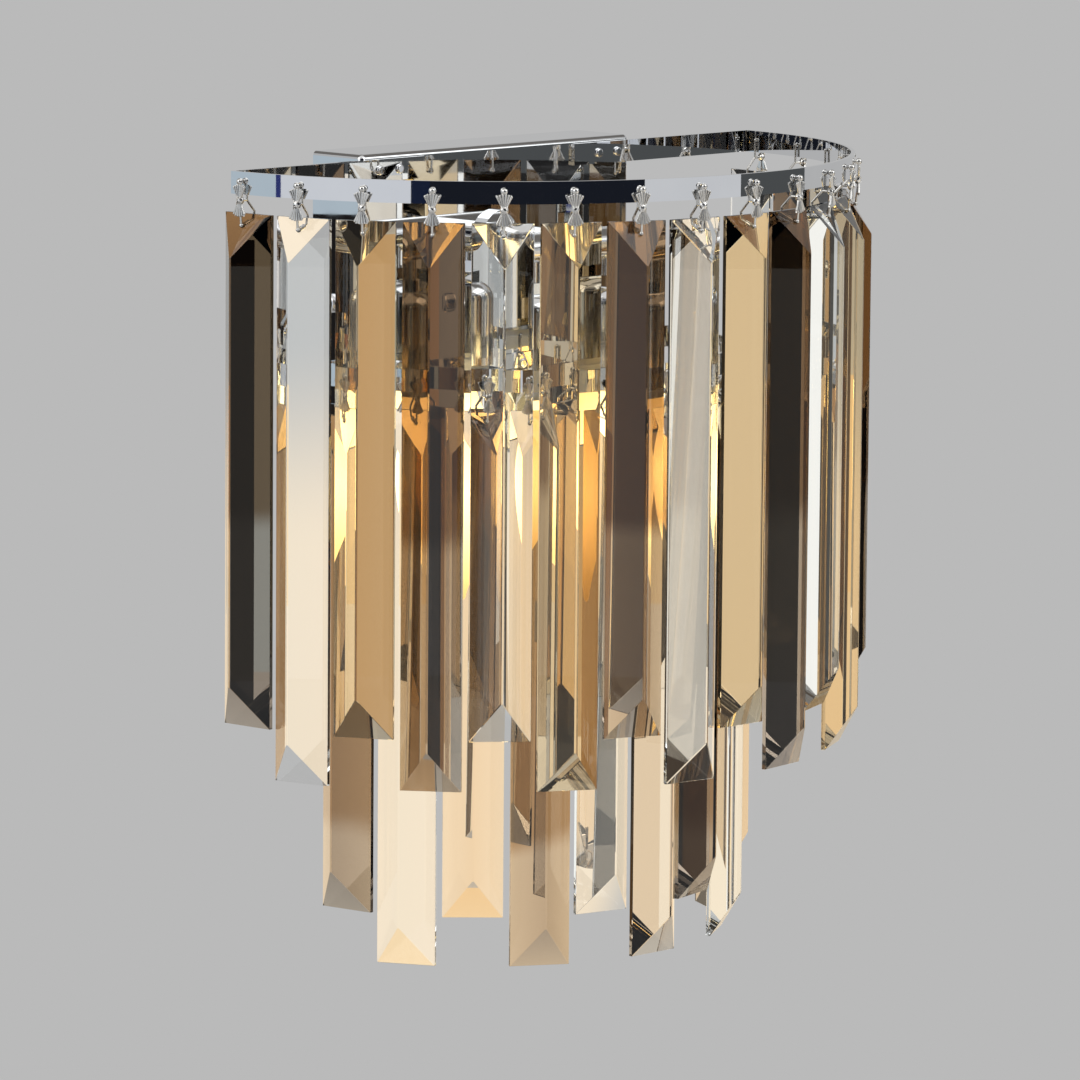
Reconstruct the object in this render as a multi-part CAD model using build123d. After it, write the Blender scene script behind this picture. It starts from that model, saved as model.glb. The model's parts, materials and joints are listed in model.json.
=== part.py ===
from build123d import *
import math
import os

# Wall light with two tiers of cut-crystal drops hung from chrome strip rings.
# Millimetres. The origin is the centre of the wall face, +Z is up and the light stands out towards -Y.

# Back plate: a shallow pan that covers the wall bracket
plate_width = 140.0
plate_height = 110.0
plate_depth = 25.0
plate_wall = 1.2
plate_bend = 2.0

# Wall bracket: a strap with a tab at each end
bracket_height = 60.0
bracket_thickness = 2.0
bracket_tab_depth = 14.0
bracket_tab_height = 30.0
bracket_gap = 0.3
wall_screw_spacing = 80.0
wall_screw_hole_radius = 2.5
cable_hole_radius = 5.0
cable_hole_drop = 11.0

# Side screws that hold the plate to the bracket
side_screw_radius = 2.0
side_screw_head_radius = 3.6
side_screw_head_height = 2.2
side_screw_dome = 1.3
side_screw_slot_width = 0.7
side_screw_slot_depth = 0.7
side_screw_setback = 10.0
side_screw_length = 8.0
screw_clearance = 0.1

# Rings: flat strip bent to a half ellipse, with its two ends folded in along the plate
strip_height = 8.0
strip_thickness = 1.5
strip_corner = 1.2
ring_below_plate_top = 1.9
outer_half_width = 135.0
outer_reach = 128.0
inner_half_width = 92.0
inner_reach = 85.5
tier_drop = 71.5
fold_overlap = 31.0
hang_hole_radius = 0.75
hang_hole_drop = 3.3
outer_first_hole = 6.5
inner_first_hole = 13.0

# Small screws through the folded ends, with their nuts inside the plate
ring_screw_radius = 1.0
ring_screw_head_radius = 1.75
ring_screw_head_height = 0.9
ring_screw_dome = 0.6
ring_screw_tail = 1.0
ring_screw_from_end = 13.0
ring_screw_pitch = 10.0
ring_nut_width = 4.0
ring_nut_height = 1.6

# Crystal drops: flat back, ridge outwards, both ends cut back to the ridge
prism_width = 22.0
prism_depth = 11.0
prism_side = 1.5
prism_ridge = 0.7
prism_end_slope = 15.0
prism_short = 184.0
prism_long = 202.0
prism_gap = 2.8
prism_hole_radius = 1.0
prism_hole_drop = 4.0
prism_top_below_ring = 14.9
prism_twist = 2.2
prism_twist_step = 2.4

# Bow-shaped clips between ring and crystal
clip_wire_radius = 0.45
clip_ball_radius = 1.2
clip_foot_radius = 0.75
clip_fan_width = 4.4
clip_fan_waist = 2.4
clip_fan_thickness = 0.6
clip_fan_height = 4.2
clip_fan_scallop = 0.85
clip_fan_root = 1.2
clip_bead_radius = 1.7
clip_waist_drop = 9.4
clip_shoulder_drop = 1.4
clip_clearance = 0.25
clip_foot_clearance = 0.55

# Lamp arm: a tube out of the plate that carries a crossbar
arm_radius = 6.0
arm_bore = 4.8
arm_wire_hole = 3.8
arm_drop = 33.0
arm_collar_radius = 11.0
arm_collar_height = 3.0
arm_nut_width = 17.0
arm_nut_height = 4.0
arm_tail = 6.0
lamp_reach = 36.0
lamp_half_spacing = 22.0
crossbar_overhang = 10.0
cap_flange = 1.5

# Clearance between a tube and the hole that it passes through
tube_clearance = 0.1

# Lampholders and their fixings
nipple_radius = 4.0
nipple_bore = 3.0
nipple_tail = 1.0
spacer_radius = 5.5
spacer_height = 5.5
spacer_saddle = 2.0
lock_nut_width = 14.0
lock_nut_height = 4.0
cover_radius = 13.5
cover_wall = 1.0
cover_height = 30.0
cover_shoulder = 6.0
socket_radius = 12.0
socket_height = 33.0
socket_floor = 6.0
socket_inset = 5.0
shell_radius = 8.2
shell_bore = 7.3
shell_clearance = 0.1
shell_lip = 2.0
shell_floor = 0.8
collar_radius = 13.0
collar_height = 4.0
collar_gap = 2.5

# Candle bulbs
cap_radius = 7.0
cap_height = 25.0
cap_shoulder = 3.4
thread_turns = 4
thread_depth = 0.6
contact_radius = 2.4
cap_clearance = 0.5
glass_neck_radius = 6.6
glass_radius = 17.5
glass_length = 76.0
glass_widest = 30.0
glass_tip_radius = 2.5
glass_wall = 0.8
glass_neck_flare = 0.15
glass_tip_lean = 0.3

# Wiring inside the plate and the arm
terminal_poles = 3
terminal_width = 30.0
terminal_depth = 12.0
terminal_height = 16.0
terminal_inset = 34.5
terminal_rise = 28.0
terminal_bore = 1.6
terminal_screw_radius = 1.5
terminal_screw_rise = 5.0
terminal_screw_recess = 0.5
lead_radius = 0.9
lead_bend = 4.0
lead_spread = 1.6
lead_loop = 6.0
lead_start = 2.0
lead_end = 1.0
earth_screw_radius = 2.0
earth_screw_head_radius = 4.0
earth_screw_head_height = 2.0
earth_screw_inset = 18.5
earth_screw_rise = 18.0
earth_tag_width = 9.0
earth_tag_neck_width = 4.5
earth_tag_length = 13.5
earth_tag_thickness = 0.8
grommet_wall = 1.5
grommet_lip = 2.0

# Places worked out from the sizes above
plate_front = -plate_depth
plate_top = plate_height / 2
ring_top = plate_top - ring_below_plate_top
inner_top = ring_top - tier_drop
hole_to_hole = prism_top_below_ring + prism_hole_drop - hang_hole_drop
arm_z = ring_top - arm_drop
lamp_y = plate_front - lamp_reach
crossbar_bottom = arm_z - arm_radius
cover_top = crossbar_bottom - spacer_height - lock_nut_height
cover_bottom = cover_top - cover_height
socket_top = cover_top - socket_inset
socket_bottom = socket_top - socket_height
shell_top = socket_top - socket_floor
cap_top = shell_top - shell_floor - cap_clearance
cap_bottom = cap_top - cap_height
fold_end = plate_width / 2 - fold_overlap
bracket_end = plate_width / 2 - plate_wall - bracket_gap
tab_inside = bracket_end - bracket_thickness
terminal_x = terminal_inset - bracket_end
earth_screw_x = bracket_end - earth_screw_inset

# How far a cut runs past the material, and the smallest length told apart
overrun = 1.0
small = 0.01

parts_folder = "parts"
os.makedirs(parts_folder, exist_ok=True)


def save(name, *solids):
    """Write one sub-part, as one solid or as a group of separate solids."""
    shape = solids[0] if len(solids) == 1 else Compound(children=list(solids))
    shape.label = name
    export_step(shape, os.path.join(parts_folder, name + ".step"))


def rod(start, end, radius):
    """A round bar from one point to another."""
    start, end = Vector(*start), Vector(*end)
    axis = end - start
    return Solid.make_cylinder(radius, axis.length, Plane(origin=start, z_dir=axis))


def tube(start, end, radius, bore):
    """A round tube from one point to another."""
    start, end = Vector(*start), Vector(*end)
    reach = (end - start).normalized()
    return rod(start, end, radius) - rod(start - reach, end + reach, bore)


def hex_nut(start, end, width, bore):
    """A hexagon nut, width across its flats, along the line from one point to another."""
    start, end = Vector(*start), Vector(*end)
    axis = end - start
    place = Plane(origin=start, z_dir=axis)
    blank = extrude(place * RegularPolygon(width / math.sqrt(3), 6), axis.length)
    return blank - rod(start - axis, end + axis, bore)


def block(x_range, y_range, z_range):
    """A box between the given limits."""
    size = [abs(high - low) for low, high in (x_range, y_range, z_range)]
    middle = [(low + high) / 2 for low, high in (x_range, y_range, z_range)]
    return Pos(*middle) * Box(*size)


def both_sides(make):
    """The same piece for the left and the right."""
    return [make(side) for side in (-1, 1)]


# Plate and bracket

def side_screw_line(side, inner, outer):
    """The side screw's axis, between two distances from the middle."""
    return (side * inner, -side_screw_setback, 0), (side * outer, -side_screw_setback, 0)


def ring_screw_places(top):
    """Where the small screws pass through one ring's folded ends."""
    from_middle = [fold_end + ring_screw_from_end + ring_screw_pitch * i for i in range(2)]
    height = top - strip_height / 2
    return [(side * x, height) for side in (-1, 1) for x in from_middle]


def back_plate():
    """The chrome pan, open towards the wall."""
    half_width, half_height = plate_width / 2, plate_height / 2
    outside = block((-half_width, half_width), (plate_front, 0), (-half_height, half_height))
    front_edges = outside.faces().sort_by(Axis.Y)[0].edges()
    outside = fillet(front_edges + outside.edges().filter_by(Axis.Y), plate_bend)
    inner_width, inner_height = half_width - plate_wall, half_height - plate_wall
    depth_range = (plate_front + plate_wall, overrun)
    inside = block((-inner_width, inner_width), depth_range, (-inner_height, inner_height))
    inner_edges = inside.faces().sort_by(Axis.Y)[0].edges()
    inner_bend = max(plate_bend - plate_wall, small)
    inside = fillet(inner_edges + inside.edges().filter_by(Axis.Y), inner_bend)
    pan = outside - inside
    for side in (-1, 1):
        start, end = side_screw_line(side, tab_inside, half_width + overrun)
        pan -= rod(start, end, side_screw_radius + screw_clearance)
    front, rear = plate_front - overrun, plate_front + plate_wall + overrun
    for top in (ring_top, inner_top):
        for x, z in ring_screw_places(top):
            pan -= rod((x, front, z), (x, rear, z), ring_screw_radius + screw_clearance)
    return pan - rod((0, front, arm_z), (0, rear, arm_z), arm_radius + tube_clearance)


def wall_bracket():
    """The strap that is screwed to the wall, with a tab at each end for the side screws."""
    half_height = bracket_height / 2
    strap = block((-bracket_end, bracket_end), (-bracket_thickness, 0), (-half_height, half_height))
    for side in (-1, 1):
        edge = (side * tab_inside, side * bracket_end)
        height_range = (-bracket_tab_height / 2, bracket_tab_height / 2)
        strap += block(edge, (-bracket_tab_depth, -bracket_thickness), height_range)
    front, rear = -bracket_thickness - overrun, overrun
    for side in (-1, 1):
        x = side * wall_screw_spacing / 2
        strap -= rod((x, front, 0), (x, rear, 0), wall_screw_hole_radius)
        start, end = side_screw_line(side, tab_inside - overrun, plate_width / 2)
        strap -= rod(start, end, side_screw_radius + screw_clearance / 2)
    z = -cable_hole_drop
    strap -= rod((0, front, z), (0, rear, z), cable_hole_radius + grommet_wall)
    x, z = earth_screw_x, earth_screw_rise
    return strap - rod((x, front, z), (x, rear, z), earth_screw_radius + screw_clearance / 2)


def cable_grommet():
    """The bush that keeps the supply cable off the bracket's edge."""
    z = -cable_hole_drop
    outside = rod((0, -bracket_thickness - grommet_lip, z), (0, -bracket_thickness, z),
                  cable_hole_radius + grommet_wall + grommet_lip)
    outside += rod((0, -bracket_thickness, z), (0, 0, z), cable_hole_radius + grommet_wall)
    return outside - rod((0, plate_front, z), (0, overrun, z), cable_hole_radius)


def side_screw(side):
    """A round-headed screw through the plate's side into the bracket's tab."""
    face = plate_width / 2
    top = face + side_screw_head_height
    head = rod(*side_screw_line(side, face, top), side_screw_head_radius)
    head = fillet(head.edges().sort_by(Axis.X)[-1 if side > 0 else 0], side_screw_dome)
    shank = rod(*side_screw_line(side, face - side_screw_length, face), side_screw_radius)
    x_range = (side * (top - side_screw_slot_depth), side * (top + overrun))
    half_slot = side_screw_slot_width / 2
    y_range = (-side_screw_setback - half_slot, -side_screw_setback + half_slot)
    slot = block(x_range, y_range, (-side_screw_head_radius, side_screw_head_radius))
    return head + shank - slot


# Rings and their screws

def strip_ring(half_width, reach, top, first_hole):
    """A strip bent to half an ellipse, folded in along the plate and drilled for the clips."""
    outside = Ellipse(half_width, reach)
    inside = Ellipse(half_width - strip_thickness, reach - strip_thickness)
    front_half = Pos(0, -reach) * Rectangle(2 * (half_width + overrun), 2 * reach)
    outline = (outside - inside) & front_half
    for side in (-1, 1):
        fold = half_width - fold_end
        middle = side * (fold_end + fold / 2)
        outline += Pos(middle, -strip_thickness / 2) * Rectangle(fold, strip_thickness)
    band = extrude(Plane(origin=(0, plate_front, top - strip_height)) * outline, strip_height)
    for side in (-1, 1):
        place = Vector(side * half_width, plate_front, top - strip_height / 2)
        corner = [edge for edge in band.edges().filter_by(Axis.Z) if (edge.center() - place).length < small]
        band = fillet(corner, strip_corner)
    for place in hang_planes(half_width, reach, top, first_hole):
        through = place.y_dir * (strip_thickness + overrun)
        band -= rod(place.origin - through, place.origin + through, hang_hole_radius)
    front, rear = plate_front - strip_thickness - overrun, plate_front + overrun
    for x, z in ring_screw_places(top):
        band -= rod((x, front, z), (x, rear, z), ring_screw_radius + screw_clearance)
    return band


def hang_planes(half_width, reach, top, first_hole):
    """A plane at each clip hole: X runs along the strip, Y points inwards and Z points up."""
    middle = strip_thickness / 2
    radii = (half_width - middle, reach - middle)
    line = EllipticalCenterArc((0, plate_front), *radii, start_angle=180, arc_size=180)
    usable = line.length - 2 * first_hole
    count = 1 + int(usable / (prism_width + prism_gap))
    planes = []
    for index in range(count):
        share = (first_hole + usable * index / (count - 1)) / line.length
        point, along = line.position_at(share), line.tangent_at(share)
        planes.append(Plane(origin=(point.X, point.Y, top - hang_hole_drop), x_dir=along, z_dir=(0, 0, 1)))
    return planes


def ring_screw(x, z):
    """A small domed screw through a folded end and the plate's face."""
    front = plate_front - strip_thickness
    head = rod((x, front - ring_screw_head_height, z), (x, front, z), ring_screw_head_radius)
    head = fillet(head.edges().sort_by(Axis.Y)[0], ring_screw_dome)
    tail = plate_front + plate_wall + ring_nut_height + ring_screw_tail
    return head + rod((x, front, z), (x, tail, z), ring_screw_radius)


def ring_nut(x, z):
    """The nut on a ring screw, inside the plate."""
    start = plate_front + plate_wall
    return hex_nut((x, start, z), (x, start + ring_nut_height, z), ring_nut_width,
                   ring_screw_radius + screw_clearance / 2)


# Crystals and clips

def prism(length):
    """One cut-crystal drop, with its hanging hole at the origin and its balance point straight below."""
    half, ridge = prism_width / 2, prism_ridge / 2
    section = Polyline((-half, 0), (half, 0), (half, -prism_side), (ridge, -prism_depth),
                       (-ridge, -prism_depth), (-half, -prism_side), close=True)
    body = extrude(make_face(section), -length)
    body = body - end_cut(1) - Pos(0, 0, -length) * end_cut(-1)
    body -= rod((0, -prism_depth, -prism_hole_drop), (0, overrun, -prism_hole_drop), prism_hole_radius)
    balance = body.center(CenterOf.MASS).Y
    return Pos(0, -balance, prism_hole_drop) * body


def end_cut(direction):
    """The wedge taken off a crystal's end, from the back face's edge down to the ridge."""
    steepness = prism_end_slope / (prism_depth - prism_side)
    deepest = prism_depth + overrun
    lowest = -direction * steepness * (deepest - prism_side)
    beyond = direction * overrun
    points = [(-prism_side, 0), (-deepest, lowest), (-deepest, beyond), (-prism_side, beyond)]
    wedge = make_face(Polyline(*points, close=True))
    return extrude(Plane.YZ * wedge, prism_width, both=True)


def back_of(solid):
    """How far a hung crystal's flat back lies behind its hanging line."""
    return solid.bounding_box().max.Y


def fan(wide_z, narrow_z, front):
    """One scalloped leaf of a clip, as a flat tapered plate in front of the ring."""
    wide, narrow = clip_fan_width / 2, clip_fan_waist / 2
    rise = wide_z - narrow_z
    bulge = math.copysign(clip_fan_scallop, rise)
    top = ThreePointArc((-wide, wide_z - bulge), (0, wide_z), (wide, wide_z - bulge))
    rest = Polyline((wide, wide_z - bulge), (narrow, narrow_z), (-narrow, narrow_z), (-wide, wide_z - bulge))
    leaf = Plane(origin=(0, front, 0), x_dir=(1, 0, 0), z_dir=(0, -1, 0)) * make_face(top + rest)
    return extrude(leaf, clip_fan_thickness)


def clip(back):
    """A bow-shaped clip, from the ring's hole at the origin down to the crystal's hole."""
    front = -strip_thickness / 2 - clip_clearance
    rear = strip_thickness / 2 + clip_clearance + clip_wire_radius
    foot_front = -clip_foot_clearance - clip_foot_radius
    foot_rear = back + clip_foot_clearance + clip_wire_radius
    waist_z = -clip_waist_drop
    foot_z = -hole_to_hole
    shoulder_z = waist_z - clip_shoulder_drop
    ball_y = front - clip_ball_radius
    body = Pos(0, ball_y, 0) * Sphere(clip_ball_radius)
    body += rod((0, ball_y, 0), (0, rear, 0), clip_wire_radius)
    body += Pos(0, rear, 0) * Sphere(clip_wire_radius)
    body += rod((0, ball_y, 0), (0, ball_y, waist_z), clip_wire_radius)
    body += Pos(0, ball_y + clip_wire_radius, waist_z) * Sphere(clip_bead_radius)
    body += rod((0, rear, 0), (0, rear, waist_z), clip_wire_radius)
    body += Pos(0, rear, waist_z) * Sphere(clip_wire_radius)
    body += rod((0, ball_y, waist_z), (0, rear, waist_z), clip_wire_radius)
    body += rod((0, rear, waist_z), (0, foot_rear, shoulder_z), clip_wire_radius)
    body += Pos(0, foot_rear, shoulder_z) * Sphere(clip_wire_radius)
    body += rod((0, foot_rear, shoulder_z), (0, foot_rear, foot_z), clip_wire_radius)
    body += Pos(0, foot_rear, foot_z) * Sphere(clip_wire_radius)
    body += rod((0, foot_rear, foot_z), (0, foot_front, foot_z), clip_wire_radius)
    body += Pos(0, foot_front, foot_z) * Sphere(clip_foot_radius)
    body += rod((0, ball_y, waist_z), (0, foot_front, foot_z), clip_wire_radius)
    leaf_front = ball_y + clip_fan_thickness / 2
    upper_low = waist_z + clip_fan_root
    body += fan(upper_low + clip_fan_height, upper_low, leaf_front)
    lower_high = waist_z - clip_fan_root
    body += fan(lower_high - clip_fan_height, lower_high, leaf_front)
    return body


def tier(name, half_width, reach, top, first_hole):
    """One tier: its ring, its clips and its crystals, short and long by turns."""
    save(name + "_ring", strip_ring(half_width, reach, top, first_hole))
    drops = (prism(prism_short), prism(prism_long))
    hook = clip(max(back_of(drop) for drop in drops))
    clips = []
    for index, place in enumerate(hang_planes(half_width, reach, top, first_hole)):
        clips.append(place.location * hook)
        twist = Rot(0, 0, prism_twist * math.sin(prism_twist_step * index + half_width))
        hung = place.location * Pos(0, 0, -hole_to_hole) * twist * drops[index % 2]
        save(f"{name}_prism_{index + 1:02d}", hung)
    save(name + "_clips", *clips)


# Lamp arm and lampholders

def crossbar():
    """The tube across the arm, drilled for the arm's wires and for the two nipples."""
    half = lamp_half_spacing + crossbar_overhang
    bar = tube((-half, lamp_y, arm_z), (half, lamp_y, arm_z), arm_radius, arm_bore)
    bar -= rod((0, lamp_y, arm_z), (0, plate_front, arm_z), arm_wire_hole)
    for side in (-1, 1):
        x = side * lamp_half_spacing
        low = crossbar_bottom - overrun
        bar -= rod((x, lamp_y, arm_z), (x, lamp_y, low), nipple_radius + tube_clearance)
    return bar


def arm_tube():
    """The tube that passes through the plate and carries the crossbar."""
    start = plate_front + plate_wall + arm_nut_height + arm_tail
    body = tube((0, start, arm_z), (0, lamp_y, arm_z), arm_radius, arm_bore)
    return body - rod((-plate_width, lamp_y, arm_z), (plate_width, lamp_y, arm_z), arm_radius)


def arm_collar():
    """The flat rosette where the arm leaves the plate."""
    return tube((0, plate_front - arm_collar_height, arm_z), (0, plate_front, arm_z), arm_collar_radius,
                arm_radius + tube_clearance)


def arm_nut():
    """The nut that clamps the arm inside the plate."""
    start = plate_front + plate_wall
    return hex_nut((0, start, arm_z), (0, start + arm_nut_height, arm_z), arm_nut_width,
                   arm_radius + tube_clearance)


def crossbar_cap(side):
    """A domed cap on one end of the crossbar."""
    end = side * (lamp_half_spacing + crossbar_overhang)
    dome = Pos(end, lamp_y, arm_z) * Sphere(arm_radius)
    span = 2 * arm_radius
    keep = block((end, end + side * span), (lamp_y - span, lamp_y + span), (arm_z - span, arm_z + span))
    plug = rod((end - side * cap_flange, lamp_y, arm_z), (end, lamp_y, arm_z), arm_bore - tube_clearance)
    return (dome & keep) + plug


def nipple(side):
    """The threaded tube between crossbar and lampholder."""
    x = side * lamp_half_spacing
    low, high = socket_top - socket_floor / 2, arm_z - arm_bore + nipple_tail
    return tube((x, lamp_y, low), (x, lamp_y, high), nipple_radius, nipple_bore)


def spacer(side):
    """The sleeve round the nipple, saddled to fit under the crossbar."""
    x = side * lamp_half_spacing
    low = cover_top + lock_nut_height
    sleeve = tube((x, lamp_y, low), (x, lamp_y, arm_z), spacer_radius, nipple_radius + tube_clearance)
    x_range, y_range = (x - arm_radius, x + arm_radius), (lamp_y - arm_radius, lamp_y + arm_radius)
    sleeve -= block(x_range, y_range, (crossbar_bottom + spacer_saddle, arm_z + overrun))
    return sleeve - rod((x_range[0], lamp_y, arm_z), (x_range[1], lamp_y, arm_z), arm_radius)


def lock_nut(side):
    """The nut that clamps a lampholder's cover."""
    x = side * lamp_half_spacing
    return hex_nut((x, lamp_y, cover_top), (x, lamp_y, cover_top + lock_nut_height), lock_nut_width,
                   nipple_radius + tube_clearance)


def turned(points, side):
    """A piece turned about a lampholder's axis, from (radius, height) points."""
    half = make_face(Plane.XZ * Polyline(*points, close=True))
    return Pos(side * lamp_half_spacing, lamp_y, 0) * revolve(half, Axis.Z)


def lampholder_cover(side):
    """The chrome cup over a lampholder, with a rounded shoulder."""
    x = side * lamp_half_spacing
    cup = rod((x, lamp_y, cover_bottom), (x, lamp_y, cover_top), cover_radius)
    cup = fillet(cup.edges().sort_by(Axis.Z)[-1], cover_shoulder)
    inner_top_z = cover_top - cover_wall
    hollow = rod((x, lamp_y, cover_bottom - overrun), (x, lamp_y, inner_top_z), cover_radius - cover_wall)
    hollow = fillet(hollow.edges().sort_by(Axis.Z)[-1], cover_shoulder - cover_wall)
    hole = rod((x, lamp_y, cover_bottom), (x, lamp_y, cover_top + overrun), nipple_radius + tube_clearance)
    return cup - hollow - hole


def lampholder_socket(side):
    """The moulded insulator inside a cover, open below for the bulb."""
    well, bore = shell_radius + shell_clearance, nipple_radius + tube_clearance
    return turned([(bore, socket_top), (socket_radius, socket_top), (socket_radius, socket_bottom),
                   (well, socket_bottom), (well, shell_top), (bore, shell_top)], side)


def socket_collar(side):
    """The threaded ring round the foot of a socket."""
    x, high = side * lamp_half_spacing, cover_bottom - collar_gap
    bore = socket_radius + tube_clearance
    return tube((x, lamp_y, high), (x, lamp_y, high - collar_height), collar_radius, bore)


def screw_shell(side):
    """The brass sleeve that a bulb's cap screws into, with its floor under the insulator."""
    low, floor_z = socket_bottom + shell_lip, shell_top - shell_floor
    return turned([(shell_bore, low), (shell_radius, low), (shell_radius, shell_top),
                   (nipple_radius, shell_top), (nipple_radius, floor_z), (shell_bore, floor_z)], side)


def bulb_cap(side):
    """A bulb's screw cap with rolled threads and its tip contact."""
    step = cap_height / (2 * thread_turns + 2)
    root = cap_radius - thread_depth
    points = [(0, cap_bottom), (root, cap_bottom)]
    for turn in range(thread_turns):
        z = cap_bottom + (2 * turn + 1) * step
        points += [(root, z), (cap_radius, z + step / 2), (root, z + step)]
    points += [(root, cap_top - step), (cap_shoulder, cap_top - thread_depth)]
    points += [(contact_radius, cap_top), (0, cap_top)]
    return turned(points, side)


def candle_form(inset):
    """Half the section of a candle bulb, set in from its outer face by the given amount."""
    high, low = cap_bottom + 2 * inset, cap_bottom - glass_length + inset
    neck, wide, tip = glass_neck_radius - inset, glass_radius - inset, glass_tip_radius
    wide_z = cap_bottom - glass_widest
    shoulder = Spline((neck, cap_bottom), (wide, wide_z), tangents=((glass_neck_flare, -1), (0, -1)))
    taper = Spline((wide, wide_z), (tip, low + tip), tangents=((0, -1), (-glass_tip_lean, -1)))
    end = RadiusArc((tip, low + tip), (0, low), tip)
    rest = Polyline((0, low), (0, high), (neck, high))
    if inset:
        rest += Line((neck, high), (neck, cap_bottom))
    return shoulder + taper + end + rest


def bulb_glass(side):
    """A candle bulb's thin glass, from its neck in the cap down to its rounded tip."""
    sections = [make_face(Plane.XZ * candle_form(inset)) for inset in (0, glass_wall)]
    outside, inside = [revolve(section, Axis.Z) for section in sections]
    return Pos(side * lamp_half_spacing, lamp_y, 0) * (outside - inside)


# Wiring

def terminal_places():
    """The middle of each pole of the terminal block."""
    pitch = terminal_width / terminal_poles
    first = terminal_x - terminal_width / 2 + pitch / 2
    return [first + pitch * pole for pole in range(terminal_poles)]


def terminal_block():
    """The three-pole terminal block on the bracket, with a wire bore through each pole."""
    floor = -bracket_thickness
    face = floor - terminal_depth
    low = terminal_rise - terminal_height
    x_range = (terminal_x - terminal_width / 2, terminal_x + terminal_width / 2)
    body = block(x_range, (face, floor), (low, terminal_rise))
    middle, screw_z = floor - terminal_depth / 2, low + terminal_screw_rise
    for x in terminal_places():
        body -= rod((x, middle, low - overrun), (x, middle, terminal_rise + overrun), terminal_bore)
        body -= rod((x, face - overrun, screw_z), (x, middle, screw_z), terminal_screw_radius)
    return body


def terminal_screw(x):
    """The clamp screw of one pole."""
    face = -bracket_thickness - terminal_depth
    z = terminal_rise - terminal_height + terminal_screw_rise
    start, end = face + terminal_screw_recess, face + terminal_depth / 2 - terminal_bore
    return rod((x, start, z), (x, end, z), terminal_screw_radius - screw_clearance)


def earth_screw():
    """The earth screw in the bracket, which traps the earth tag."""
    x, z = earth_screw_x, earth_screw_rise
    face = -bracket_thickness - earth_tag_thickness
    head = rod((x, face - earth_screw_head_height, z), (x, face, z), earth_screw_head_radius)
    return head + rod((x, face, z), (x, 0, z), earth_screw_radius)


def earth_tag():
    """The ring tag under the earth screw."""
    x, z = earth_screw_x, earth_screw_rise
    front, rear = -bracket_thickness - earth_tag_thickness, -bracket_thickness
    half_neck = earth_tag_neck_width / 2
    tag = rod((x, front, z), (x, rear, z), earth_tag_width / 2)
    tag += block((x - earth_tag_length, x), (front, rear), (z - half_neck, z + half_neck))
    return tag - rod((x, plate_front, z), (x, overrun, z), earth_screw_radius + screw_clearance)


def lead(side):
    """The sheathed lead from the terminal block through the arm to one lampholder."""
    start_x = terminal_places()[1 if side > 0 else 0]
    y = -bracket_thickness - terminal_depth / 2
    shift = side * lead_spread
    x = side * lamp_half_spacing
    loop_z = terminal_rise + lead_loop + shift
    inside_plate = [(start_x, y, terminal_rise - lead_start), (start_x, y, loop_z), (shift, y, loop_z)]
    inside_arm = [(shift, y, arm_z), (shift, lamp_y, arm_z), (x, lamp_y, arm_z)]
    points = inside_plate + inside_arm + [(x, lamp_y, shell_top + lead_end)]
    path = FilletPolyline(*points, radius=lead_bend)
    return sweep(Plane(origin=path @ 0, z_dir=path % 0) * Circle(lead_radius), path)


# The whole light

save("back_plate", back_plate())
save("wall_bracket", wall_bracket())
save("side_screws", *both_sides(side_screw))
save("cable_grommet", cable_grommet())
save("terminal_block", terminal_block())
save("terminal_screws", *[terminal_screw(x) for x in terminal_places()])
save("earth_screw", earth_screw())
save("earth_tag", earth_tag())

tier("outer", outer_half_width, outer_reach, ring_top, outer_first_hole)
tier("inner", inner_half_width, inner_reach, inner_top, inner_first_hole)
ring_screw_spots = [spot for top in (ring_top, inner_top) for spot in ring_screw_places(top)]
save("ring_screws", *[ring_screw(x, z) for x, z in ring_screw_spots])
save("ring_nuts", *[ring_nut(x, z) for x, z in ring_screw_spots])

save("arm_tube", arm_tube())
save("arm_collar", arm_collar())
save("arm_nut", arm_nut())
save("crossbar", crossbar())
save("crossbar_caps", *both_sides(crossbar_cap))
save("nipples", *both_sides(nipple))
save("spacers", *both_sides(spacer))
save("lock_nuts", *both_sides(lock_nut))
save("socket_collars", *both_sides(socket_collar))
save("lampholder_sockets", *both_sides(lampholder_socket))
save("screw_shells", *both_sides(screw_shell))
save("leads", *both_sides(lead))
for hand, side in (("left", -1), ("right", 1)):
    save("lampholder_cover_" + hand, lampholder_cover(side))
    save("bulb_cap_" + hand, bulb_cap(side))
    save("bulb_glass_" + hand, bulb_glass(side))
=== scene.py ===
import json
import math

import bpy
from mathutils import Matrix, Vector


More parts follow.
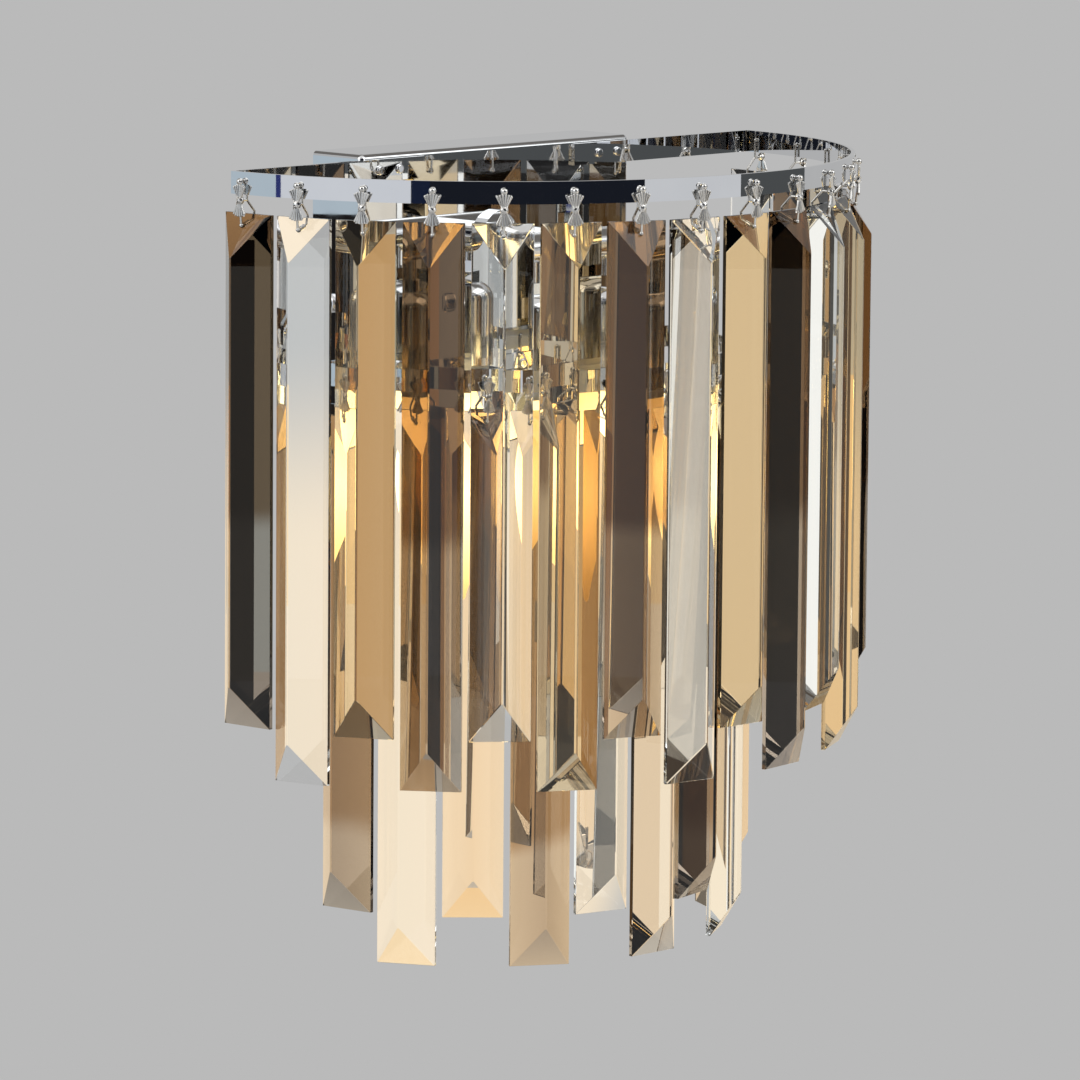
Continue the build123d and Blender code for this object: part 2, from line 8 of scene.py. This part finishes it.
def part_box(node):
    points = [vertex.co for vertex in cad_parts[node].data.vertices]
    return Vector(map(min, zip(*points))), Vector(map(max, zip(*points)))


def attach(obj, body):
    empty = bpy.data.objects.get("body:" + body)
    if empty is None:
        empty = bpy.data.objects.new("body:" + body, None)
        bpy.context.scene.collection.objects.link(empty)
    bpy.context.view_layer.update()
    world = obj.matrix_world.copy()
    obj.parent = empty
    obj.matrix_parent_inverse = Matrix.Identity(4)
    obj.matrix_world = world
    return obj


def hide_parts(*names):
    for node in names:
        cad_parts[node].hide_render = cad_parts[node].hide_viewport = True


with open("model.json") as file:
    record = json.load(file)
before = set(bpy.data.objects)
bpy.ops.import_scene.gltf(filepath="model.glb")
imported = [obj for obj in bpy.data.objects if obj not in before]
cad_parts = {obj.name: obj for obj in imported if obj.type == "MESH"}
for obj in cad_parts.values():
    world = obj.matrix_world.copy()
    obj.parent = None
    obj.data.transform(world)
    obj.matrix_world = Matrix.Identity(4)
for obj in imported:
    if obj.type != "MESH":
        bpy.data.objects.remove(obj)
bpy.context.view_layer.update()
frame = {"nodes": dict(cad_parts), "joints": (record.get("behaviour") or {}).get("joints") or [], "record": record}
nodes = frame["nodes"]
joints = frame["joints"]
scene = bpy.context.scene
mm = 0.001
print("stage: frame loaded,", len(nodes), "nodes")


# ways of working that every piece uses

mergeLook = {"distance": 0.002 * mm, "flatDegrees": 0.4}


def objectMode():
    bpy.ops.object.mode_set(mode="OBJECT")


def deselectAll():
    if bpy.context.object and bpy.context.object.mode != "OBJECT":
        objectMode()
    bpy.ops.object.select_all(action="DESELECT")


def pick(piece):
    deselectAll()
    piece.select_set(True)
    bpy.context.view_layer.objects.active = piece


def editMode(piece, kind="FACE"):
    pick(piece)
    bpy.ops.object.mode_set(mode="EDIT")
    bpy.ops.mesh.select_mode(type=kind)


def selectFaces(piece, test):
    # leaves the piece in edit mode
    editMode(piece)
    bpy.ops.mesh.select_all(action="DESELECT")
    objectMode()
    for face in piece.data.polygons:
        face.select = test(face)
    bpy.ops.object.mode_set(mode="EDIT")


def bevelEdges(piece, look):
    pick(piece)
    modifier = piece.modifiers.new("Bevel", "BEVEL")
    modifier.width = look["edge"]
    modifier.segments = look["steps"]
    modifier.limit_method = "ANGLE"
    modifier.angle_limit = math.radians(look["edgeDegrees"])
    bpy.ops.object.modifier_apply(modifier=modifier.name)


def freeze(piece, name):
    pick(piece)
    bpy.ops.object.transform_apply(location=True, rotation=True, scale=True)
    piece.name = name
    piece.data.name = name
    return piece


def joinPieces(pieces, name):
    deselectAll()
    for piece in pieces:
        piece.select_set(True)
    bpy.context.view_layer.objects.active = pieces[0]
    bpy.ops.object.join()
    return freeze(bpy.context.object, name)


def paint(piece, material):
    piece.data.materials.clear()
    piece.data.materials.append(material)


def mergedCopy(node, name):
    # the node's own shape as one closed mesh with flat faces, ready for its edges to be worked
    piece = bpy.data.objects.new(name, nodes[node].data.copy())
    scene.collection.objects.link(piece)
    editMode(piece, "VERT")
    bpy.ops.mesh.select_all(action="SELECT")
    bpy.ops.mesh.remove_doubles(threshold=mergeLook["distance"])
    bpy.ops.mesh.dissolve_limited(angle_limit=math.radians(mergeLook["flatDegrees"]))
    bpy.ops.mesh.normals_make_consistent(inside=False)
    objectMode()
    return piece


# shader steps, each of which hands on the socket that it ends in

noiseSpan = (0.3, 0.7)  # nearly all of a noise's values lie between these


def newMaterial(name, **sockets):
    material = bpy.data.materials.new(name)
    material.use_nodes = True
    shader = material.node_tree.nodes["Principled BSDF"]
    for key, value in sockets.items():
        shader.inputs[key.replace("_", " ")].default_value = value
    return material, material.node_tree, shader


def noise(tree, scale, detail, stretch=(1, 1, 1)):
    place = tree.nodes.new("ShaderNodeTexCoord")
    mapping = tree.nodes.new("ShaderNodeMapping")
    mapping.inputs["Scale"].default_value = stretch
    pattern = tree.nodes.new("ShaderNodeTexNoise")
    pattern.inputs["Scale"].default_value = scale
    pattern.inputs["Detail"].default_value = detail
    tree.links.new(place.outputs["Object"], mapping.inputs["Vector"])
    tree.links.new(mapping.outputs["Vector"], pattern.inputs["Vector"])
    return pattern.outputs["Fac"]


def heightOf(tree):
    place = tree.nodes.new("ShaderNodeTexCoord")
    split = tree.nodes.new("ShaderNodeSeparateXYZ")
    tree.links.new(place.outputs["Object"], split.inputs["Vector"])
    return split.outputs["Z"]


def worked(tree, operation, *terms):
    step = tree.nodes.new("ShaderNodeMath")
    step.operation = operation
    for slot, term in zip(step.inputs, terms):
        if isinstance(term, bpy.types.NodeSocket):
            tree.links.new(term, slot)
        else:
            slot.default_value = term
    return step.outputs["Value"]


def ranged(tree, source, span, low=0.0, high=1.0, smooth=False):
    ramp = tree.nodes.new("ShaderNodeMapRange")
    if smooth:
        ramp.interpolation_type = "SMOOTHSTEP"
    ramp.inputs["From Min"].default_value = span[0]
    ramp.inputs["From Max"].default_value = span[1]
    ramp.inputs["To Min"].default_value = low
    ramp.inputs["To Max"].default_value = high
    tree.links.new(source, ramp.inputs["Value"])
    return ramp.outputs["Result"]


def blendColours(tree, share, first, second, target):
    blend = tree.nodes.new("ShaderNodeMix")
    blend.data_type = "RGBA"
    blend.inputs["A"].default_value = (*first, 1)
    blend.inputs["B"].default_value = (*second, 1)
    tree.links.new(share, blend.inputs["Factor"])
    tree.links.new(blend.outputs["Result"], target)


def bump(tree, source, shader, strength, depth):
    relief = tree.nodes.new("ShaderNodeBump")
    relief.inputs["Strength"].default_value = strength
    relief.inputs["Distance"].default_value = depth
    tree.links.new(source, relief.inputs["Height"])
    tree.links.new(relief.outputs["Normal"], shader.inputs["Normal"])


def hazed(tree, shader, haze, light, dark, rough):
    blendColours(tree, haze, light, dark, shader.inputs["Base Color"])
    tree.links.new(ranged(tree, haze, noiseSpan, *rough), shader.inputs["Roughness"])


# metals and moulded pieces

chromeLook = {
    "hazeScale": 70.0,
    "hazeDetail": 4.0,
    "rippleScale": 28.0,
    "rippleDetail": 2.0,
    "strength": 0.02,
    "depth": 0.3 * mm,
}
metalLook = {"scale": 400.0, "detail": 5.0, "strength": 0.15, "depth": 0.05 * mm}
mouldedLook = {"index": 1.5, "detail": 5.0, "strength": 0.12, "depth": 0.05 * mm}


def polishedChrome(name, light, dark, rough):
    look = chromeLook
    material, tree, shader = newMaterial(name, Metallic=1.0)
    hazed(tree, shader, noise(tree, look["hazeScale"], look["hazeDetail"]), light, dark, rough)
    ripple = noise(tree, look["rippleScale"], look["rippleDetail"])
    bump(tree, ripple, shader, look["strength"], look["depth"])
    return material


def plainMetal(name, light, dark, rough, grain):
    look = metalLook
    material, tree, shader = newMaterial(name, Metallic=1.0)
    haze = noise(tree, look["scale"], look["detail"], grain)
    hazed(tree, shader, haze, light, dark, rough)
    bump(tree, haze, shader, look["strength"], look["depth"])
    return material


def moulded(name, light, dark, rough, scale):
    look = mouldedLook
    material, tree, shader = newMaterial(name, IOR=look["index"])
    haze = noise(tree, scale, look["detail"])
    hazed(tree, shader, haze, light, dark, rough)
    bump(tree, haze, shader, look["strength"], look["depth"])
    return material


# crystal: clear glass tinted by its depth, with faint lines along each drop

crystalLook = {
    "index": 1.54,
    "drawLines": (260, 260, 3),
    "lineScale": 1.0,
    "lineDetail": 3.0,
    "lineStrength": 0.012,
    "lineDepth": 0.02 * mm,
    "smoke": {"face": (1.0, 1.0, 1.0), "through": (0.36, 0.27, 0.20), "density": 32.0},
    "clear": {"face": (1.0, 1.0, 1.0), "through": (0.90, 0.98, 0.96), "density": 14.0},
    "champagne": {"face": (0.97, 0.90, 0.80), "through": (0.92, 0.76, 0.52), "density": 34.0},
    "amber": {"face": (0.88, 0.77, 0.59), "through": (0.90, 0.74, 0.42), "density": 34.0},
}
smokePaintedShade = {  # painted shade: the smoke glass's colour is painted darker above a wavering height, for the dark surroundings seen in it there; heights in frame metres
    "light": (0.70, 0.61, 0.50),
    "depth": 0.012,
    "sway": 0.030,
    "swayScale": 24.0,
    "swayDetail": 0.5,
    "outer": {"turn": -0.072, "dark": (0.31, 0.20, 0.11)},
    "inner": {"turn": -0.190, "dark": (0.47, 0.33, 0.20)},
}


def paintShadeAbove(tree, shader, tier):
    # painted shade: the base colour turns from the light tone below to the dark tone above a wavering height
    look = smokePaintedShade
    height = heightOf(tree)
    waver = noise(tree, look["swayScale"], look["swayDetail"])
    swayed = worked(tree, "MULTIPLY_ADD", waver, look["sway"], height)
    middle = tier["turn"] + look["sway"] / 2
    span = (middle - look["depth"] / 2, middle + look["depth"] / 2)
    share = ranged(tree, swayed, span, smooth=True)
    blendColours(tree, share, look["light"], tier["dark"], shader.inputs["Base Color"])


def cutCrystal(name, tint, fade=None):
    look, glass = crystalLook, crystalLook[tint]
    material, tree, shader = newMaterial(name, Roughness=0.0, IOR=look["index"], Transmission_Weight=1.0)
    shader.inputs["Base Color"].default_value = (*glass["face"], 1)
    lines = noise(tree, look["lineScale"], look["lineDetail"], look["drawLines"])
    bump(tree, lines, shader, look["lineStrength"], look["lineDepth"])
    body = tree.nodes.new("ShaderNodeVolumeAbsorption")
    body.inputs["Color"].default_value = (*glass["through"], 1)
    body.inputs["Density"].default_value = glass["density"]
    tree.links.new(body.outputs["Volume"], tree.nodes["Material Output"].inputs["Volume"])
    # smoke drops get painted shade, darker above a wavering height
    if fade:
        paintShadeAbove(tree, shader, fade)
    return material


# bulb glass: frosted, brightest round the filament and deeper in colour towards its ends

glowLook = {
    "glass": (0.95, 0.86, 0.70),
    "rough": 0.3,
    "core": (1.0, 0.80, 0.40),
    "ends": (1.0, 0.68, 0.22),
    "coreHeight": -0.066,
    "reach": 0.048,
    "coreStrength": 3.6,
    "endStrength": 1.1,
    "frostScale": 600.0,
    "frostDetail": 3.0,
    "frostStrength": 0.1,
    "frostDepth": 0.05 * mm,
}


def litBulbGlass():
    look = glowLook
    material, tree, shader = newMaterial("bulb_glass_lit", Roughness=look["rough"])
    shader.inputs["Base Color"].default_value = (*look["glass"], 1)
    away = worked(tree, "SUBTRACT", heightOf(tree), look["coreHeight"])
    far = worked(tree, "ABSOLUTE", away)
    span = (0.0, look["reach"])
    strength = ranged(tree, far, span, look["coreStrength"], look["endStrength"], smooth=True)
    tree.links.new(strength, shader.inputs["Emission Strength"])
    blendColours(tree, ranged(tree, far, span), look["core"], look["ends"], shader.inputs["Emission Color"])
    frost = noise(tree, look["frostScale"], look["frostDetail"])
    bump(tree, frost, shader, look["frostStrength"], look["frostDepth"])
    return material


# every finish: its light and dark tone, its range of roughness, and its grain or scale

chrome = polishedChrome("chrome", (0.86, 0.87, 0.88), (0.80, 0.81, 0.83), (0.005, 0.035))
lampChrome = polishedChrome("lamp_chrome", (0.84, 0.84, 0.83), (0.76, 0.76, 0.76), (0.09, 0.16))
clipChrome = polishedChrome("clip_chrome", (0.95, 0.94, 0.91), (0.80, 0.79, 0.77), (0.07, 0.17))
steel = plainMetal("zinc_steel", (0.70, 0.71, 0.70), (0.52, 0.54, 0.55), (0.28, 0.45), (1, 1, 1))
brass = plainMetal("brass", (0.80, 0.62, 0.32), (0.62, 0.45, 0.20), (0.18, 0.34), (1, 1, 4))
capMetal = plainMetal("bulb_cap_metal", (0.80, 0.80, 0.78), (0.62, 0.62, 0.60), (0.18, 0.32), (1, 1, 6))
insulator = moulded("insulator", (0.86, 0.85, 0.81), (0.76, 0.74, 0.69), (0.25, 0.42), 500.0)
grommetRubber = moulded("grommet_rubber", (0.035, 0.035, 0.036), (0.015, 0.015, 0.015), (0.5, 0.7), 700.0)
leadSheath = moulded("lead_sheath", (0.80, 0.79, 0.74), (0.68, 0.66, 0.60), (0.4, 0.6), 900.0)
bulbGlow = litBulbGlass()
crystals = {
    "crystal_smoke": cutCrystal("crystal_smoke", "smoke", smokePaintedShade["outer"]),
    "crystal_clear": cutCrystal("crystal_clear", "clear"),
    "crystal_amber": cutCrystal("crystal_amber", "amber"),
}
innerTints = {  # the inner tier's tints are paler
    "crystal_smoke": cutCrystal("crystal_smoke_inner", "smoke", smokePaintedShade["inner"]),
    "crystal_amber": cutCrystal("crystal_amber_inner", "champagne"),
}
slotMaterials = {
    "chrome": chrome,
    "clip_chrome": clipChrome,
    "zinc_steel": steel,
    "brass": brass,
    "insulator": insulator,
    "grommet": grommetRubber,
    "lead_sheath": leadSheath,
    "bulb_cap": capMetal,
    "bulb_glass": bulbGlow,
    **crystals,
}
lampParts = (  # the chrome round the lamps, which is less bright than the rings
    "lampholder_cover_left", "lampholder_cover_right", "arm_tube", "crossbar", "crossbar_caps", "spacers",
)
slotOf = {row["node"]: row["material_slot"] for row in frame["record"]["subparts"]}
for nodeName, node in nodes.items():
    paint(node, lampChrome if nodeName in lampParts else slotMaterials[slotOf[nodeName]])
print("stage: materials on", len(nodes), "nodes")


# crystal drops: the cut shape with its edges ground to a fine flat, which catches the light

dropLook = {"edge": 0.28 * mm, "steps": 1, "edgeDegrees": 25}


def crystalDrop(node, body):
    drop = mergedCopy(node, node + "_cut")
    bevelEdges(drop, dropLook)
    slot = slotOf[node]
    tints = {**slotMaterials, **innerTints} if node.startswith("inner_") else slotMaterials
    paint(drop, tints[slot])
    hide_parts(node)
    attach(drop, body)


dropBodies = [joint["child"] for joint in joints if "_swing_" in joint["name"]]
for body in dropBodies:
    crystalDrop(body.replace("_drop_", "_prism_"), body)
print("stage:", len(dropBodies), "crystal drops")


# clips: one bow of two ribbed fans and a bead, with its pins, copied to every drop; in millimetres

clipLook = {  # heights are from the ring's hole, and the front is towards -Y
    "ringHoleAbove": 15.6,
    "ball": 1.2,
    "pin": 0.45,
    "foot": 0.75,
    "front": -2.2,
    "rear": 1.45,
    "waist": -6.7,
    "shoulder": -10.8,
    "footFront": -1.3,
    "footRear": 5.3,
    "ballSides": 16,
    "ballRings": 10,
    "pinSides": 10,
    "smoothDegrees": 50,
}
fanLook = {
    "ribs": 6,
    "turn": 0.17,
    "root": 0.9,
    "length": 4.6,
    "waist": 1.9,
    "wide": 4.5,
    "plate": 0.5,
    "ribThin": 0.22,
    "ribThick": 0.42,
    "tipFacing": 0.9,
}
beadLook = {
    "radius": 1.7,
    "facets": 2,
    "form": (0.92, 0.8, 1.0),
    "set": 0.3,
    "prongFoot": (1.1, -0.5, 1.5),
    "prongTip": (0.55, -1.25, 0.5),
    "prongThick": 0.3,
    "prongThin": 0.2,
}


def clipBall(place, radius):
    deselectAll()
    bpy.ops.mesh.primitive_uv_sphere_add(segments=clipLook["ballSides"], ring_count=clipLook["ballRings"],
                                         radius=radius * mm, location=Vector(place) * mm)
    bpy.ops.object.shade_smooth()
    return bpy.context.object


def clipPin(start, end, thin, thick):
    deselectAll()
    start, end = Vector(start) * mm, Vector(end) * mm
    bpy.ops.mesh.primitive_cone_add(vertices=clipLook["pinSides"], radius1=thin * mm, radius2=thick * mm,
                                    depth=(end - start).length, location=(start + end) / 2)
    pin = bpy.context.object
    pin.rotation_euler = (end - start).to_track_quat("Z", "Y").to_euler()
    bpy.ops.object.shade_smooth_by_angle(angle=math.radians(clipLook["smoothDegrees"]))
    return pin


def clipFan(way):
    # a tapered leaf with ribs that spread over its front, each ending in a rounded tip
    look = fanLook
    root = Vector((0, clipLook["front"], clipLook["waist"] + way * look["root"]))
    middle = root + Vector((0, 0, way * look["length"] / 2))
    deselectAll()
    bpy.ops.mesh.primitive_cube_add(size=1, location=middle * mm)
    leaf = bpy.context.object
    leaf.scale = (look["waist"] * mm, look["plate"] * mm, look["length"] * mm)
    selectFaces(leaf, lambda face: face.normal.z * way > look["tipFacing"])
    bpy.ops.transform.resize(value=(look["wide"] / look["waist"], 1, 1))
    objectMode()
    pieces = [leaf]
    spacing = look["waist"] / look["ribs"]
    for index in range(look["ribs"]):
        share = index - (look["ribs"] - 1) / 2
        turn = share * look["turn"]
        foot = root + Vector((share * spacing, -look["plate"] / 2, 0))
        tip = foot + Vector((math.sin(turn), 0, way * math.cos(turn))) * (look["length"] - abs(turn))
        pieces.append(clipPin(foot, tip, look["ribThin"], look["ribThick"]))
        pieces.append(clipBall(tip, look["ribThick"]))
    return pieces


def clipBead(place):
    # a pointed bead with four prongs over it
    look = beadLook
    place = Vector(place)
    deselectAll()
    bpy.ops.mesh.primitive_ico_sphere_add(subdivisions=look["facets"], radius=look["radius"] * mm,
                                          location=place * mm)
    bead = bpy.context.object
    bead.scale = look["form"]
    pieces = [bead]
    for side in (-1, 1):
        for way in (-1, 1):
            start, end = (place + Vector((side * across, out, way * up))
                          for across, out, up in (look["prongFoot"], look["prongTip"]))
            pieces.append(clipPin(start, end, look["prongThick"], look["prongThin"]))
    return pieces


def oneClip():
    look = clipLook
    pin = look["pin"]
    ball = (0, look["front"], 0)
    waist = (0, look["front"], look["waist"])
    rearTop = (0, look["rear"], 0)
    rearWaist = (0, look["rear"], look["waist"])
    shoulder = (0, look["footRear"], look["shoulder"])
    footRear = (0, look["footRear"], -look["ringHoleAbove"])
    footFront = (0, look["footFront"], -look["ringHoleAbove"])
    pieces = [clipBall(ball, look["ball"]), clipBall(footFront, look["foot"])]
    for corner in (rearTop, rearWaist, shoulder, footRear):
        pieces.append(clipBall(corner, pin))
    route = [
        (ball, rearTop), (ball, waist), (rearTop, rearWaist), (waist, rearWaist),
        (rearWaist, shoulder), (shoulder, footRear), (footRear, footFront), (waist, footFront),
    ]
    for start, end in route:
        pieces.append(clipPin(start, end, pin, pin))
    pieces += clipBead((0, look["front"] + beadLook["set"], look["waist"]))
    pieces += clipFan(1) + clipFan(-1)
    return joinPieces(pieces, "clip")


def clipPlace(joint):
    along = -Vector(joint["axis"]).normalized()
    inwards = Vector((0, 0, 1)).cross(along)
    turn = Matrix((along, inwards, (0, 0, 1))).transposed().to_4x4()
    hole = Vector(joint["pos_m"]) + Vector((0, 0, clipLook["ringHoleAbove"] * mm))
    return Matrix.Translation(hole) @ turn


def clipTier(tier, pattern):
    clips = []
    for joint in joints:
        if joint["name"].startswith(tier + "_swing_"):
            clip = bpy.data.objects.new(joint["name"] + "_clip", pattern.data.copy())
            scene.collection.objects.link(clip)
            clip.matrix_world = clipPlace(joint)
            clips.append(clip)
    bows = joinPieces(clips, tier + "_bow_clips")
    paint(bows, clipChrome)
    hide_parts(tier + "_clips")
    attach(bows, "root")
    print("stage:", tier, "clips")


clipPattern = oneClip()
for tier in ("outer", "inner"):
    clipTier(tier, clipPattern)
bpy.data.objects.remove(clipPattern)


# rings: the strip with its long edges rolled over, so that they carry a bright line

ringLook = {
    "edge": 0.2 * mm,
    "steps": 2,
    "edgeDegrees": 50,
    "thick": 1.5 * mm,
    "slack": 0.004,  # how far off the ellipse a corner may lie, as a share
    "agree": 0.9,
}


def bentStripNormals(ring, tier):
    # a mirror shows every flat of the mesh, so the bent faces take the ellipse's own normals
    lo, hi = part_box(tier + "_ring")
    wide, deep, thick = hi[0], hi[1] - lo[1], ringLook["thick"]
    skins = [(wide, deep, 1), (wide - thick, deep - thick, -1)]
    mesh = ring.data
    normals = []
    for face in mesh.polygons:
        for corner in face.loop_indices:
            normal = face.normal.copy()
            spot = mesh.vertices[mesh.loops[corner].vertex_index].co
            x, y = spot.x, spot.y - hi[1]
            for half, reach, way in skins:
                onSkin = abs((x / half) ** 2 + (y / reach) ** 2 - 1) < ringLook["slack"]
                bent = way * Vector((x / half ** 2, y / reach ** 2, 0)).normalized()
                if onSkin and bent.dot(face.normal) > ringLook["agree"]:
                    normal = bent
            normals.append(normal)
    mesh.normals_split_custom_set(normals)


def stripRing(tier):
    ring = mergedCopy(tier + "_ring", tier + "_strip")
    bevelEdges(ring, ringLook)
    pick(ring)
    bpy.ops.object.shade_smooth()
    bentStripNormals(ring, tier)
    paint(ring, chrome)
    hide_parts(tier + "_ring")
    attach(ring, "root")


for tier in ("outer", "inner"):
    stripRing(tier)
print("stage: rings")


# camera at the photograph's place: frame metres, radians, and a lens in millimetres

cameraLook = {
    "place": (-1.8528, -1.8557, 0.2767),
    "yaw": 0.7978,
    "pitch": 0.1405,
    "roll": 0.008,
    "lens": 236.8,
    "nearest": 0.1,
    "farthest": 60.0,
}


def addCamera(look):
    yaw, pitch, roll = look["yaw"], look["pitch"], look["roll"]
    forward = Vector((math.sin(yaw) * math.cos(pitch), math.cos(yaw) * math.cos(pitch), -math.sin(pitch)))
    level = forward.cross(Vector((0, 0, 1))).normalized()
    upright = level.cross(forward)
    right = level * math.cos(roll) + upright * math.sin(roll)
    up = upright * math.cos(roll) - level * math.sin(roll)
    data = bpy.data.cameras.new("camera")
    data.lens = look["lens"]
    data.clip_start = look["nearest"]
    data.clip_end = look["farthest"]
    camera = bpy.data.objects.new("camera", data)
    scene.collection.objects.link(camera)
    turn = Matrix((right, up, -forward)).transposed().to_4x4()
    camera.matrix_world = Matrix.Translation(look["place"]) @ turn
    scene.camera = camera


addCamera(cameraLook)


# studio: a plain grey surround, and cards round the light that only metal and glass meet

backdrop = (0.491, 0.491, 0.491)
cardSides = 180  # of a full round, so each side's middle lies on an odd degree
cards = [  # name, from and to angle in degrees from +X, reach, foot and top in metres, and the colour
    ("navy_flag", -156, -150, 3.1, -0.285, 1.9, (0.010, 0.015, 0.036)),
    ("dark_flag", -150, -83, 3.1, -0.285, 1.9, (0.010, 0.012, 0.018)),
    ("front_low_card", -156, -83, 3.1, -0.61, -0.285, (0.40, 0.39, 0.36)),
    ("right_card", -83, -50, 3.1, -0.61, 0.6, (0.62, 0.63, 0.65)),
    ("right_sand_card", -83, -54.6, 0.45, -0.60, 0.006, (0.84, 0.77, 0.66)),
    ("right_near_card", -54.6, -48, 0.45, -0.60, 0.006, (1.0, 1.0, 0.96)),
    ("right_near_flag", -47, -29, 0.45, -0.60, 0.006, (0.020, 0.020, 0.020)),
    ("brown_near_flag", -29, -17, 0.45, -0.60, 0.006, (0.085, 0.052, 0.025)),
    ("gold_card", 42, 62, 0.54, -0.20, -0.10, (1.0, 0.76, 0.46)),
    ("tan_card", 75, 85, 0.54, -0.26, -0.03, (0.62, 0.44, 0.26)),
    ("right_back_card", -17, -8, 0.54, -0.60, -0.010, (0.96, 0.94, 0.90)),
    ("olive_flag", -50, -20, 3.1, -0.61, 1.2, (0.075, 0.08, 0.082)),
    ("left_card", 158, 204, 3.1, -0.61, 0.6, (0.66, 0.68, 0.72)),
    ("blue_edge", 156, 158, 3.1, -0.285, 0.6, (0.03, 0.04, 0.16)),
    ("left_wing", 128, 156, 3.1, -0.61, 0.6, (0.46, 0.54, 0.60)),
    ("left_low_flag", 126, 154, 0.45, -0.60, -0.006, (0.012, 0.011, 0.011)),
]
creamCard = {  # behind the drops: cream near its foot and cooler above
    "from": -18,
    "to": 112,
    "reach": 0.55,
    "foot": -0.60,
    "top": -0.03,
    "low": (0.97, 0.82, 0.62),
    "high": (0.53, 0.535, 0.53),
    "turn": (-0.17, -0.07),
}
softBoxes = [  # name, place and target in metres, size in metres, watts and colour
    ("left_box", (-1.9, 0.35, 1.25), (0, -0.08, -0.05), (1.8, 1.7), 13, (1.0, 0.99, 0.97)),
    ("right_box", (0.9, -1.7, 1.3), (0, -0.08, -0.05), (1.8, 1.7), 13, (0.97, 0.99, 1.0)),
    ("top_box", (-0.2, -0.5, 1.7), (0, -0.08, 0.0), (2.2, 2.2), 9, (1.0, 1.0, 1.0)),
]
ceilingLook = {"sides": 64, "reach": 2.8, "height": 2.0, "colour": (0.16, 0.15, 0.14)}
floorLook = {
    "sides": 96,
    "reach": 30.0,
    "height": -0.62,
    "colour": (0.62, 0.62, 0.62),
    "rough": 0.9,
    "shadowFrom": 0.75,
    "shadowTo": 1.5,
}


def addSurround():
    world = bpy.data.worlds.new("studio")
    scene.world = world
    world.use_nodes = True
    world.node_tree.nodes["Background"].inputs["Color"].default_value = (*backdrop, 1)


def litCard(name, colour):
    material = bpy.data.materials.new(name + "_cloth")
    material.use_nodes = True
    tree = material.node_tree
    tree.nodes.remove(tree.nodes["Principled BSDF"])
    glow = tree.nodes.new("ShaderNodeEmission")
    glow.inputs["Color"].default_value = (*colour, 1)
    tree.links.new(glow.outputs["Emission"], tree.nodes["Material Output"].inputs["Surface"])
    return material, tree, glow


def hideFromCamera(card):
    card.visible_camera = False


def addCard(name, start, end, reach, foot, top, colour):
    # bent round the light between two angles
    deselectAll()
    bpy.ops.mesh.primitive_cylinder_add(vertices=cardSides, radius=reach, end_fill_type="NOTHING",
                                        depth=top - foot, location=(0, 0, (top + foot) / 2))
    card = freeze(bpy.context.object, name)

    def outside(face):
        angle = math.degrees(math.atan2(face.center.y, face.center.x))
        return not (start <= angle <= end or start <= angle + 360 <= end)

    selectFaces(card, outside)
    bpy.ops.mesh.delete(type="FACE")
    objectMode()
    material, tree, glow = litCard(name, colour)
    paint(card, material)
    hideFromCamera(card)
    return tree, glow


def addCreamCard(look):
    tree, glow = addCard("cream_card", look["from"], look["to"], look["reach"], look["foot"], look["top"],
                         look["low"])
    share = ranged(tree, heightOf(tree), look["turn"], smooth=True)
    blendColours(tree, share, look["low"], look["high"], glow.inputs["Color"])


def addSoftBox(name, place, target, size, watts, colour):
    light = bpy.data.lights.new(name, "AREA")
    light.shape = "RECTANGLE"
    light.size, light.size_y = size
    light.energy = watts
    light.color = colour
    box = bpy.data.objects.new(name, light)
    scene.collection.objects.link(box)
    box.location = place
    box.rotation_euler = (Vector(target) - Vector(place)).to_track_quat("-Z", "Y").to_euler()


def addDisc(name, look):
    deselectAll()
    bpy.ops.mesh.primitive_circle_add(vertices=look["sides"], radius=look["reach"], fill_type="NGON",
                                      location=(0, 0, look["height"]))
    return freeze(bpy.context.object, name)


def addCeiling(look):
    # a darker ceiling, which the slanted tops of the drops look up to
    ceiling = addDisc("ceiling_card", look)
    paint(ceiling, litCard("ceiling", look["colour"])[0])
    hideFromCamera(ceiling)


def addFloor(look):
    # pale and matt under the light, and the backdrop's own grey farther out
    floor = addDisc("studio_floor", look)
    material, tree, shader = newMaterial("floor_pale", Roughness=look["rough"])
    shader.inputs["Base Color"].default_value = (*look["colour"], 1)
    plain = tree.nodes.new("ShaderNodeEmission")
    plain.inputs["Color"].default_value = (*backdrop, 1)
    place = tree.nodes.new("ShaderNodeTexCoord")
    flat = tree.nodes.new("ShaderNodeVectorMath")
    flat.operation = "MULTIPLY"
    flat.inputs[1].default_value = (1, 1, 0)
    far = tree.nodes.new("ShaderNodeVectorMath")
    far.operation = "LENGTH"
    tree.links.new(place.outputs["Object"], flat.inputs[0])
    tree.links.new(flat.outputs["Vector"], far.inputs[0])
    fade = ranged(tree, far.outputs["Value"], (look["shadowFrom"], look["shadowTo"]), smooth=True)
    mix = tree.nodes.new("ShaderNodeMixShader")
    tree.links.new(fade, mix.inputs["Fac"])
    tree.links.new(shader.outputs["BSDF"], mix.inputs[1])
    tree.links.new(plain.outputs["Emission"], mix.inputs[2])
    tree.links.new(mix.outputs["Shader"], tree.nodes["Material Output"].inputs["Surface"])
    paint(floor, material)


addSurround()
for softBox in softBoxes:
    addSoftBox(*softBox)
addFloor(floorLook)
for card in cards:
    addCard(*card)
addCreamCard(creamCard)
addCeiling(ceilingLook)
scene.view_settings.view_transform = "Standard"
print("stage: camera, lights and floor")
